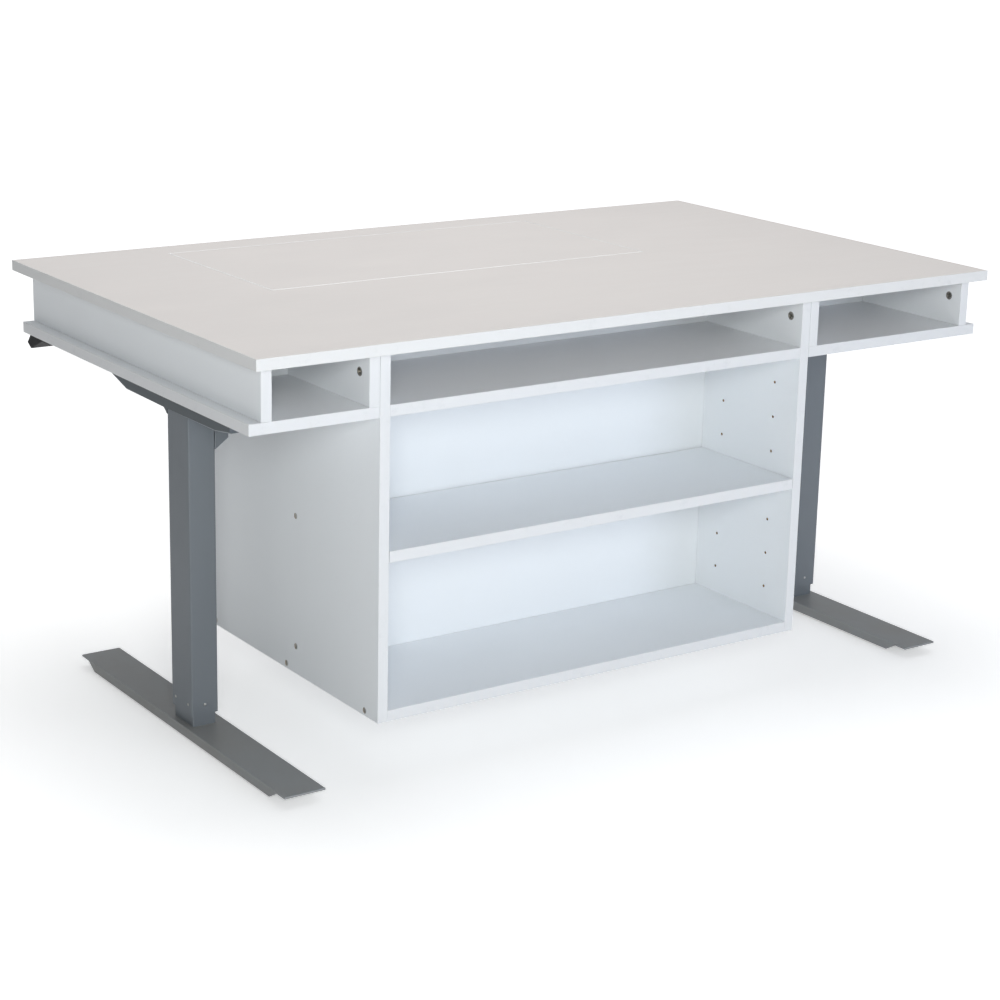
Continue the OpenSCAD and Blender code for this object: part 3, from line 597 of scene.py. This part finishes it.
screw_steel = plated("screw_steel", tint(172, 174, 176), 0.20)
collar_height = 0.005
thrust_play = 0.0005
for side in SIDES:
    bearing = as_mesh(side + "_ball_bearing", ball_bearing(side + "_bearing"), [screw_steel])
    fit(side + "_ball_bearing", bearing, "zinc_steel", side + "_bearing")
    screw_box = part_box(side + "_lead_screw")
    screw_top, screw_span = screw_box[1].z, span_of(screw_box)
    hangs_at = upright_at(screw_box, screw_top)
    thrust_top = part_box(side + "_head_plate")[0].z - thrust_play
    repeat(side + "_threaded_screw", "screw_steel", side + "_lead_screw", [hangs_at], {
        "Length": screw_span.z, "Radius": 0.0079, "Depth": 0.0007, "Lead": 0.004, "Journal": 0.006,
        "Collar": screw_span.x / 2, "Collar height": collar_height, "Stop": 0.006, "Stop chamfer": 0.0008,
        "Spindle": screw_top - thrust_top + collar_height, "Thrust": thrust_top - screw_top},
        lead_screw, screw_steel)

motor_black = plastic("motor_black", tint(34, 35, 38), 0.40, 700.0)
# The rounded edges of the motor casing are painted lighter: a painted highlight along the edges.
motor_edge = plastic("motor_edge", tint(52, 54, 58), 0.34, 700.0)
for side in SIDES:
    dress(side + "_gear_motor", "motor_black", [motor_black, motor_edge], 0.0018, 3,
          lambda edge: edge.calc_length() > 0.004)

# ---------------------------------------------------------------- support arms
# Each arm is folded from sheet steel into a channel with sloped ends and two flanges.
# It is welded across the head of a leg, and round-headed wood screws hold it to the deck.


def is_fold(edge):
    """True for an outer corner between a side of the arm and its underside."""
    sides = [face.normal for face in edge.link_faces]
    return (any(abs(n.x) > 0.9 for n in sides) and any(n.z < -0.4 for n in sides)
            and edge.calc_length() > 0.02 and edge.is_convex)


arm_paint = powder_coat("arm_paint", tint(86, 93, 98), tint(96, 100, 103), 0.40)
for side in SIDES:
    shape = copy_of(side + "_arm")
    for face in shape.faces:
        face.material_index = 0
    # The folds take the legs' lighter corner paint, a painted highlight along the folds.
    rounded(shape, 0.0022, 4, 1, is_fold)
    mesh = as_mesh(side + "_arm_made", shape, [arm_paint, leg_edge_highlight])
    fit(side + "_arm_made", mesh, "leg_paint", side + "_arm")


def crossed_bars(t, length, width, depth):
    """Two bars that cross at right angles, centred on z = 0, to cut a cross slot."""
    sizes = [t.add("ShaderNodeCombineXYZ", {}, {"X": x, "Y": y, "Z": depth})
             for x, y in ((length, width), (width, length))]
    return [t.add("GeometryNodeMeshCube", {}, {"Size": bar}) for bar in sizes]


def wood_screw(t, size):
    """A wood screw with a cross recess, its head's face at z = 0 and its shank running down."""
    head_radius, head_height = size["Head radius"], size["Head height"]
    recess = crossed_bars(t, head_radius * 1.15, head_radius * 0.24, head_height)
    head = cone(t, head_radius * 0.78, head_radius, head_height)
    rest = size["Length"] - head_height
    shank = cone(t, size["Shank radius"] * 0.8, size["Shank radius"] * 0.3, rest, -head_height, 20)
    ridge = thread(t, size["Shank radius"] * 0.66, size["Pitch"], rest * 0.8, -head_height - rest * 0.06)
    return join(t, cut(t, head, *recess), shank, ridge)


arm_screw_parts = parts_of("arm_screws")
arm_screw_span = span_of(arm_screw_parts[0])
repeat("arm_wood_screws", "zinc_steel", "arm_screws", [stand_of(part) for part in arm_screw_parts], {
    "Head radius": arm_screw_span.x / 2, "Head height": 0.0025, "Shank radius": 0.0025,
    "Length": arm_screw_span.z, "Pitch": 0.0018}, wood_screw, zinc, math.pi)

# ---------------------------------------------------------------- deck of the box top
# Two wing boards and the floor of the machine well lie edge to edge and are dowelled together.
# All boards are particle board faced with white melamine and edged with a plastic band.


def melamine(name, colour, shadow, gloss):
    """Melamine-faced board: a pebbled press texture, faint clouding, wiped smears and dust."""
    f = Finish(name)
    clouds = f.noise(3.5, 5.0, 0.6)
    smears = f.steps(f.noise(9.0, 6.0, 0.65, f.stretched(0.5, 2.0, 1.0)), (0.42, 0.0), (0.72, 1.0))
    dusty = f.steps(f.noise(31.0, 2.0), (0.6, 0.0), (0.66, 1.0))
    specks = f.steps(f.cells(150.0), (0.03, 1.0), (0.07, 0.0)) * dusty
    pebbles = f.noise(900.0, 3.0, 0.6) + 0.6 * f.noise(280.0, 2.0)
    colour = f.mix(0.55 * clouds, colour, shadow)
    colour = f.mix(0.35 * specks, colour, tint(150, 146, 138))
    return f.surface({
        "Base Color": colour,
        "Roughness": gloss + 0.12 * smears + 0.05 * clouds,
        "Normal": f.bump(pebbles, 0.00005, 0.35),
    })


def edge_band(name, colour, shadow):
    """Plastic edging, smoother than the faces, with faint planing waves and small rubbed spots."""
    f = Finish(name)
    waves = f.noise(240.0, 2.0, 0.5, f.stretched(1.0, 1.0, 0.3))
    rubs = f.steps(f.noise(38.0, 6.0, 0.7), (0.58, 0.0), (0.72, 1.0))
    return f.surface({
        "Base Color": f.mix(0.5 * rubs, colour, shadow),
        "Roughness": 0.30 + 0.16 * rubs + 0.05 * waves,
        "Normal": f.bump(waves, 0.00004, 0.3),
    })


def raw_chipboard(name):
    """Particle board where a bore is drilled through the facing."""
    f = Finish(name)
    chips = f.cells(420.0, f.stretched(1.0, 1.6, 0.7))
    return f.surface({
        "Base Color": f.mix(chips, tint(176, 140, 98), tint(104, 74, 46)),
        "Roughness": 0.85 + 0.1 * chips,
        "Normal": f.bump(chips, 0.0004, 0.8),
    })


white_face = melamine("white_melamine", tint(240, 243, 246), tint(234, 237, 240), 0.36)
# The edging is the same white as the faces but is painted darker: painted shade on the banded edges.
white_band_painted_shade = edge_band("white_edge_band_painted_shade", tint(224, 225, 227), tint(211, 213, 215))
chipboard = raw_chipboard("raw_chipboard")
largest_bore_area = 0.002


def board(node, slot, face_finish, band_finish, radius=0.0007, thin=None, grow=0.0):
    """A faced board: finishes for its faces, its banded edges and its bores, with rounded edges."""
    low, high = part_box(node)
    size = high - low
    thin = min(range(3), key=lambda k: size[k]) if thin is None else thin
    shape = copy_of(node)
    for face in shape.faces:
        across = max(range(3), key=lambda k: abs(face.normal[k]))
        level = face.calc_center_median()[across]
        outside = min(abs(level - low[across]), abs(level - high[across])) < SAME_PLACE
        if outside or face.calc_area() > largest_bore_area:
            face.material_index = 0 if across == thin else 1
        else:
            face.material_index = 2
    if grow:
        middle = (low + high) / 2
        for vert in shape.verts:
            for k in range(3):
                if k != thin:
                    vert.co[k] += math.copysign(grow, vert.co[k] - middle[k])
    rounded(shape, radius, 3, 1, lambda edge: edge.calc_length() > 0.015)
    mesh = as_mesh(node + "_board", shape, [face_finish, band_finish, chipboard])
    return fit(node + "_board", mesh, slot, node)


for node in ("left_wing_bottom", "right_wing_bottom", "well_floor"):
    board(node, "white_melamine", white_face, white_band_painted_shade)


def beech(name):
    """Pale beech with its short dark flecks."""
    f = Finish(name)
    grain = f.noise(240.0, 4.0, 0.6, f.stretched(0.2, 1.0, 1.0))
    flecks = f.steps(f.cells(700.0, f.stretched(0.25, 1.0, 1.0)), (0.05, 1.0), (0.15, 0.0))
    return f.surface({
        "Base Color": f.mix(0.5 * grain + 0.4 * flecks, tint(222, 184, 136), tint(166, 118, 74)),
        "Roughness": 0.62 + 0.1 * grain,
        "Normal": f.bump(grain, 0.0001, 0.5),
    })


def fluted_dowel(t, size):
    """A fluted dowel with chamfered ends, its end at z = 0."""
    chamfer, body = size["Radius"] * 0.25, size["Length"] - size["Radius"] * 0.5
    star = t.add("GeometryNodeCurveStar", {}, {
        "Points": 20, "Inner Radius": size["Radius"] * 0.93, "Outer Radius": size["Radius"]})
    line = t.add("GeometryNodeCurvePrimitiveLine", {}, {
        "End": t.add("ShaderNodeCombineXYZ", {}, {"Z": body})})
    fluted = t.add("GeometryNodeCurveToMesh", {}, {"Curve": line, "Profile Curve": star, "Fill Caps": True})
    return join(
        t,
        lifted(t, fluted, -body - chamfer),
        cone(t, size["Radius"] * 0.75, size["Radius"] * 0.93, chamfer, 0.0, 20),
        cone(t, size["Radius"] * 0.93, size["Radius"] * 0.75, chamfer, -body - chamfer, 20),
    )


dowel_parts = parts_of("floor_dowels")
repeat("fluted_dowels", "beech_dowel", "floor_dowels", [stand_of(part) for part in dowel_parts],
       {"Radius": 0.004, "Length": max(span_of(dowel_parts[0]))}, fluted_dowel, beech("beech"), math.pi)

# ---------------------------------------------------------------- uprights of the box top
# Outer sides, dividers, compartment backs and the rear rail stand on the deck.
# Screws from below and cam locks at the top hold them.

for node in ("left_outer_side", "right_outer_side", "left_divider", "right_divider",
             "left_cubby_back", "right_cubby_back", "rear_rail", "upper_compartment_back"):
    board(node, "white_melamine", white_face, white_band_painted_shade)

# ---------------------------------------------------------------- cabinet
# Two tall sides hang the cabinet from the top, with a bottom, a fixed upper shelf and a back
# between them. Rows of bores in the sides take the pins of the adjustable shelf.

for node in ("cabinet_left_side", "cabinet_right_side", "cabinet_bottom", "upper_shelf", "cabinet_back"):
    board(node, "white_melamine", white_face, white_band_painted_shade)

# ---------------------------------------------------------------- cams, bolts and screws
# Zinc cam locks in the uprights grip bolts that are screwed into the top. Flush screws with
# a hex socket join the boards, their heads just below the face.


def cam(t, size):
    """A die-cast cam lock: a rim and a sunk face with a cross slot."""
    radius, depth = size["Radius"], size["Depth"]
    sunk = drum(t, radius * 0.72, depth * 0.2, depth * 0.14)
    body = cut(t, drum(t, radius, depth), sunk)
    return cut(t, body, *crossed_bars(t, radius * 1.3, radius * 0.26, radius * 0.8))


def face_of(part):
    """The end of a cam that is level with the face of its board, and the way it faces."""
    spot, way = stand_of(part)
    middle = (part[0] + part[1]) / 2
    holders = [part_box(n) for n in ("left_outer_side", "right_outer_side", "left_divider", "right_divider",
                                   "cabinet_left_side", "cabinet_right_side")]
    low, high = next(b for b in holders if b[0].x < middle.x < b[1].x)
    side = 1 if high.x - part[1].x < part[0].x - low.x else -1
    return Vector((part[1].x if side > 0 else part[0].x, middle.y, middle.z)), Vector((side, 0, 0))


cam_zinc = plated("cam_zinc", tint(176, 172, 164), 0.34)
cam_parts = parts_of("cam_locks")
cam_span = span_of(cam_parts[0])
repeat("zinc_cam_locks", "zinc_steel", "cam_locks", [face_of(part) for part in cam_parts],
       {"Radius": cam_span.y / 2, "Depth": cam_span.x}, cam, cam_zinc, math.pi)


def cam_bolt(t, size):
    """A cam bolt: a threaded end in the top, a neck, and a ball end for the cam."""
    top = size["Thread length"]
    ball = t.add("GeometryNodeMeshUVSphere", {}, {"Segments": 20, "Rings": 12, "Radius": size["Neck radius"]})
    low_end = top - size["Length"]
    return join(
        t,
        drum(t, size["Thread radius"] * 0.84, top, top, 20),
        thread(t, size["Thread radius"] * 0.8, 0.0012, top * 0.9, top * 0.95),
        drum(t, size["Neck radius"], 0.002, 0.0, 20),
        drum(t, size["Neck radius"] * 0.7, size["Length"] - top - size["Neck radius"], 0.0, 20),
        lifted(t, ball, low_end + size["Neck radius"]),
    )


cam_bolt_parts = parts_of("cam_bolts")
under_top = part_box("top_panel")[0].z
repeat("cam_bolt_rods", "zinc_steel", "cam_bolts", [upright_at(part, under_top) for part in cam_bolt_parts], {
    "Length": span_of(cam_bolt_parts[0]).z, "Thread length": cam_bolt_parts[0][1].z - under_top,
    "Thread radius": 0.0025, "Neck radius": 0.0035}, cam_bolt, zinc)


def flush_screw(t, size):
    """A flush joining screw with a hex socket, its head a little below z = 0."""
    head_radius, sunk, head_height = size["Head radius"], size["Sunk"], size["Head height"]
    socket = drum(t, head_radius * 0.56, head_height * 1.2, head_height * 0.5, 6)
    rim = cone(t, head_radius * 0.86, head_radius, head_height * 0.25, -sunk)
    plate = drum(t, head_radius, head_height * 0.55, -sunk - head_height * 0.25)
    neck = drum(t, size["Shank radius"], size["Grip"], -head_height, 20)
    core = drum(t, size["Core radius"] * 0.86, size["Length"] - size["Grip"] - head_height,
                -size["Grip"] - head_height, 20)
    ridge = thread(t, size["Core radius"] * 0.78, 0.0028, size["Length"] - size["Grip"] - 0.004,
                   -size["Grip"] - 0.002)
    return join(t, cut(t, rim, socket), cut(t, plate, socket), neck, core, ridge)


screw_parts = parts_of("connecting_screws")
repeat("flush_joining_screws", "zinc_steel", "connecting_screws", [stand_of(part) for part in screw_parts], {
    "Head radius": 0.005, "Head height": 0.002, "Sunk": 0.0004, "Shank radius": 0.0035, "Core radius": 0.0025,
    "Grip": 0.017, "Length": max(span_of(screw_parts[0]))}, flush_screw, zinc, math.pi)

# ---------------------------------------------------------------- top and insert
# The top is one faced board with an opening over the machine well. The insert drops into the
# opening and rests on four cleats, and both have a bright plastic band round the joint. The
# insert's band is painted near pure white: a painted highlight along the seam.

top_face = melamine("top_melamine", tint(226, 221, 218), tint(218, 214, 211), 0.40)
top_band = edge_band("top_edge_band", tint(228, 228, 228), tint(214, 215, 215))
# Near pure white, brighter than the other bands: a painted highlight for the lit edge of the seam.
joint_band_highlight = edge_band("joint_edge_band_painted_highlight", tint(250, 250, 250), tint(236, 236, 234))
board("top_panel", "top_melamine", top_face, top_band, 0.0011)
board("insert_panel", "top_melamine", top_face, joint_band_highlight, 0.0014, grow=0.0005)
board("insert_cleats", "white_melamine", white_face, white_band_painted_shade, 0.0006, thin=2)

# ---------------------------------------------------------------- shelf
# The adjustable shelf rests on four bent steel pins and slides out when it is pulled.

board("adjustable_shelf", "white_melamine", white_face, white_band_painted_shade)
dress("shelf_pins", "zinc_steel", [zinc], 0.0004, 2, lambda edge: edge.calc_length() > 0.0015)

# ---------------------------------------------------------------- control box
# A moulded box under the right wing holds the circuit board of the drive. Its mains inlet
# faces the sitter.


def green_board(name):
    """Green solder mask with pale tracks and bright pads."""
    f = Finish(name)
    tracks = f.steps(f.cells(160.0, f.stretched(1.0, 0.35, 1.0)), (0.1, 1.0), (0.14, 0.0))
    pads = f.steps(f.cells(230.0), (0.12, 1.0), (0.16, 0.0))
    colour = f.mix(0.5 * tracks, tint(22, 84, 52), tint(54, 128, 84))
    return f.surface({
        "Base Color": f.mix(pads, colour, tint(206, 200, 184)),
        "Roughness": 0.34 + 0.1 * tracks,
        "Metallic": 0.8 * pads,
    })


dress("control_box", "black_plastic", [black_plastic], 0.0016, 3)
dress("control_board", "board_green", [green_board("green_board")], 0.0003, 1)
dress("mains_inlet", "black_plastic", [black_plastic], 0.0006, 2)

# ---------------------------------------------------------------- handset
# A small moulded switch under the left wing, toward the sitter, with one button to raise the
# table and one to lower it. Each button has a raised triangle that shows its way.

dress("handset_case", "black_plastic", [black_plastic], 0.0018, 3, lambda edge: edge.calc_length() > 0.012)
button_rubber = plastic("button_plastic", tint(74, 76, 80), 0.5, 900.0)
arrow_white = plastic("arrow_mark", tint(214, 216, 218), 0.45)


def button(node, points_up):
    """A button with rounded rims and a raised triangle, on the slope of the handset."""
    shape = copy_of(node)
    for face in shape.faces:
        face.material_index = 0
    top = max((face for face in shape.faces if face.normal.z > 0.3 and face.normal.y > 0.3),
              key=lambda face: face.calc_area())
    middle, out = top.calc_center_median(), top.normal.copy()
    along = Vector((1, 0, 0))
    uphill = out.cross(along)
    uphill = uphill if uphill.z > 0 else -uphill
    rounded(shape, 0.0008, 3, 0, lambda edge: edge.calc_length() > 0.0001 and
            all(abs((v.co - middle).dot(out)) < SAME_PLACE for v in edge.verts))
    half, base, sunk, shoulder, crown = 0.0028, 0.0016, -0.0002, 0.00025, 0.0004
    tip = 1 if points_up else -1
    corners = [(-half, -base * tip), (half, -base * tip), (0.0, half * tip)]
    rings = [[shape.verts.new(middle + along * x * k + uphill * y * k + out * h) for x, y in corners]
             for k, h in ((1.0, sunk), (1.0, shoulder), (0.82, crown))]
    marks = [shape.faces.new(rings[2])]
    for ring, above in zip(rings, rings[1:]):
        for k, n in ((0, 1), (1, 2), (2, 0)):
            marks.append(shape.faces.new((ring[k], ring[n], above[n], above[k])))
    marks.append(shape.faces.new(rings[0]))
    for face in marks:
        face.material_index = 1
    bmesh.ops.recalc_face_normals(shape, faces=shape.faces)
    mesh = as_mesh(node + "_cap", shape, [button_rubber, arrow_white])
    fit(node + "_cap", mesh, "button_plastic", node)


button("up_button", True)
button("down_button", False)
case_screw_parts = parts_of("handset_screws")
repeat("handset_case_screws", "zinc_steel", "handset_screws", [stand_of(part) for part in case_screw_parts], {
    "Head radius": 0.004, "Head height": 0.003, "Shank radius": 0.002,
    "Length": span_of(case_screw_parts[0]).z, "Pitch": 0.0014}, wood_screw, zinc, math.pi)

# ---------------------------------------------------------------- studio
# A pale floor runs back to a surround that the camera sees as white and that lights the table
# more from one side. A soft light stands beside the camera, a weak one stands to the right and
# a broad one hangs overhead. The camera stands at the table's front left corner.


def pale_floor(name):
    """A matt white sweep that glows a little, more so toward the surround."""
    f = Finish(name)
    away = f.add("ShaderNodeVectorMath", {"operation": "LENGTH"}, {0: f.place}, "Value")
    far = f.steps(away / reach, (0.03, 0.0), (0.14, 1.0))
    seen = f.add("ShaderNodeLightPath", out="Is Camera Ray")
    return f.surface({
        "Base Color": f.mix(0.3 * f.noise(2.0, 3.0), (0.86, 0.86, 0.86, 1), (0.82, 0.82, 0.82, 1)),
        "Roughness": 0.75,
        "Emission Color": (1.0, 1.0, 1.0, 1.0),
        "Emission Strength": 0.10 + seen * (0.30 + 0.5 * far),
    })


reach = 30.0
floor_mesh = bpy.data.meshes.new("studio_floor")
floor_mesh.from_pydata([(-reach, -reach, 0), (reach, -reach, 0), (reach, reach, 0), (-reach, reach, 0)],
                       [], [(0, 1, 2, 3)])
floor_mesh.materials.append(pale_floor("studio_floor"))
studio_floor = bpy.data.objects.new("studio_floor", floor_mesh)
bpy.context.scene.collection.objects.link(studio_floor)

surround = bpy.data.worlds.new("surround")
bpy.context.scene.world = surround
surround.use_nodes = True
sky = Tree(surround.node_tree)
seen = sky.add("ShaderNodeLightPath", out="Is Camera Ray")
toward = sky.add("ShaderNodeSeparateXYZ", {}, {0: sky.add("ShaderNodeTexCoord", out="Generated")}, "X")
room = 0.32 + 0.24 * toward
glow = sky.add("ShaderNodeBackground", {}, {
    "Color": (0.95, 0.97, 1.0, 1.0), "Strength": room + seen * (1.0 - room)})
sky.add("ShaderNodeOutputWorld", {}, {"Surface": glow})


def soft_light(name, place, target, width, power, colour):
    lamp = bpy.data.lights.new(name, "AREA")
    lamp.shape = "DISK"
    lamp.size, lamp.energy, lamp.color = width, power, colour
    light = bpy.data.objects.new(name, lamp)
    light.location = place
    light.rotation_euler = (Vector(target) - Vector(place)).to_track_quat("-Z", "Y").to_euler()
    bpy.context.scene.collection.objects.link(light)


soft_light("key_light", (-2.5, -3.9, 1.75), (0.0, 0, 0.45), 1.3, 90.0, (0.97, 1.0, 0.985))
soft_light("fill_light", (1.4, -3.4, 0.75), (-0.2, 0, 0.4), 1.6, 22.0, (0.74, 0.83, 1.0))
soft_light("top_light", (0.1, 0.5, 3.4), (0, 0, 0.7), 2.6, 56.0, (1.0, 0.99, 0.98))

camera_data = bpy.data.cameras.new("camera")
camera_data.lens = 83.24
camera_data.shift_x, camera_data.shift_y = 0.002, -0.0266
camera = bpy.data.objects.new("camera", camera_data)
camera.location = (-2.358, -3.41, 1.51)
camera.rotation_euler = (1.2972, -0.0215, -0.5974)
bpy.context.scene.collection.objects.link(camera)
bpy.context.scene.camera = camera
bpy.context.scene.view_settings.view_transform = "Standard"
